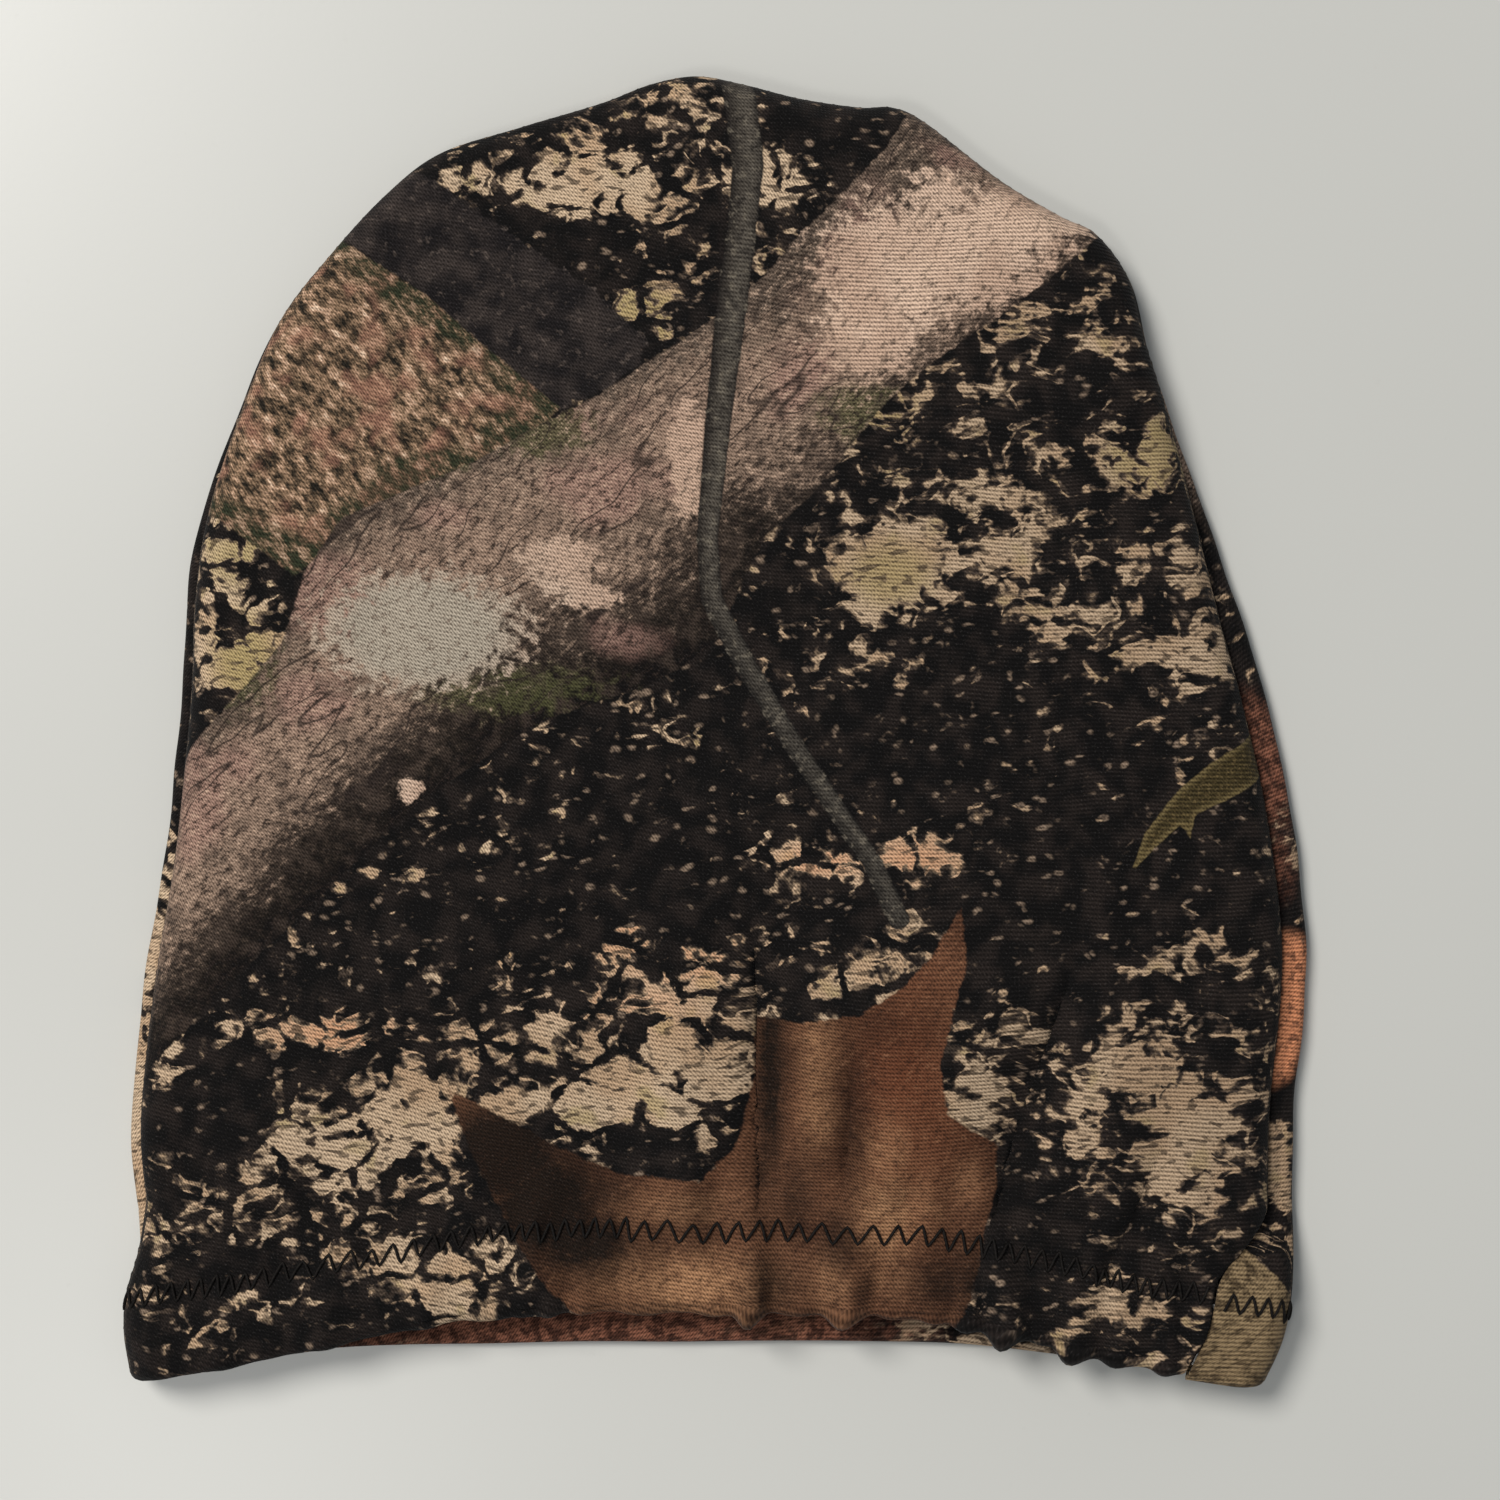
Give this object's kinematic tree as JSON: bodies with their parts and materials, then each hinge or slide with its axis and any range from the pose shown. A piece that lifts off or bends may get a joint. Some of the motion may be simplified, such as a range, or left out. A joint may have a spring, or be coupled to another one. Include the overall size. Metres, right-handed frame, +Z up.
{
  "type": "face mask",
  "caption": "Stretch-knit hood-shaped face mask lying flat: two sewn panels, rounded crown, turned hem with elastic and zigzag topstitch, open mouth.",
  "frame": {"origin": "on the table under the middle of the mask's bounding box", "axes": "+X to the wearer's side that is right in plan view with the crown up, +Y from the hem towards the crown, +Z up off the table"},
  "size_m": [0.2128, 0.2358, 0.0136],
  "materials": {
    "front_knit": "matte ribbed jersey printed with bark and leaf camouflage",
    "back_knit": "matte ribbed jersey printed with bark and leaf camouflage",
    "elastic": "woven ribbed elastic",
    "elastic_thread": "polyester thread",
    "dark_thread": "textured polyester thread",
    "overlock_thread": "textured polyester thread"
  },
  "bodies": {
    "back": {"back_panel": "back_knit", "elastic_band": "elastic", "elastic_join_stitch": "elastic_thread", "back_hem_zigzag": "dark_thread", "seam_lower_looper": "overlock_thread", "seam_needle_thread": "overlock_thread"},
    "front": {"front_panel": "front_knit", "front_hem_zigzag": "dark_thread", "seam_upper_looper": "overlock_thread"}
  },
  "joints": [
    {"name": "mouth_open", "type": "hinge", "parent": "back", "child": "front", "pos_m": [-0.005, 0.1171, 0.005], "axis": [-1, 0, 0], "range_deg": [0, 12], "deforming": ["elastic_band"]}
  ]
}
